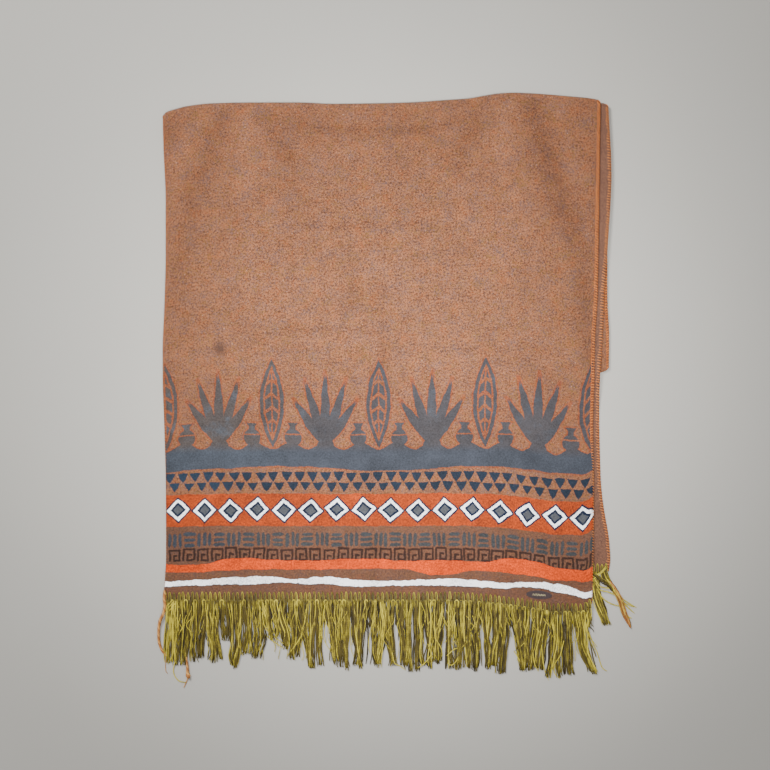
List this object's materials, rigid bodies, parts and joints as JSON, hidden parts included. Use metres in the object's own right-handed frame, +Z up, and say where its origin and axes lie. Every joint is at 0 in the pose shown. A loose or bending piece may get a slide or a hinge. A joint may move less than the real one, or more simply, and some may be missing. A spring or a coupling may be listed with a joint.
{
  "type": "folded fringed stole",
  "caption": "Wide wool-like stole with painted border bands near one end and a yarn fringe at each end, folded back and forth and laid flat.",
  "frame": {"origin": "on the surface it lies on, under the middle of the box round the cloth and its fringes", "axes": "+X across the cloth to its right edge, +Y from the fringed front end up to the top fold, +Z up from the surface"},
  "size_m": [0.6488, 0.7944, 0.0105],
  "materials": {
    "painted_wool": "heathered tan brushed wool-like cloth, matt, with hand-painted border bands",
    "fringe_yarn": "fine olive-gold yarn, slightly glossy",
    "label_cloth": "dark woven cloth label, matt, with plain pale stitches"
  },
  "bodies": {
    "root": {"cloth": "painted_wool", "front_fringe": "fringe_yarn", "back_fringe": "fringe_yarn", "label": "label_cloth"}
  },
  "joints": []
}
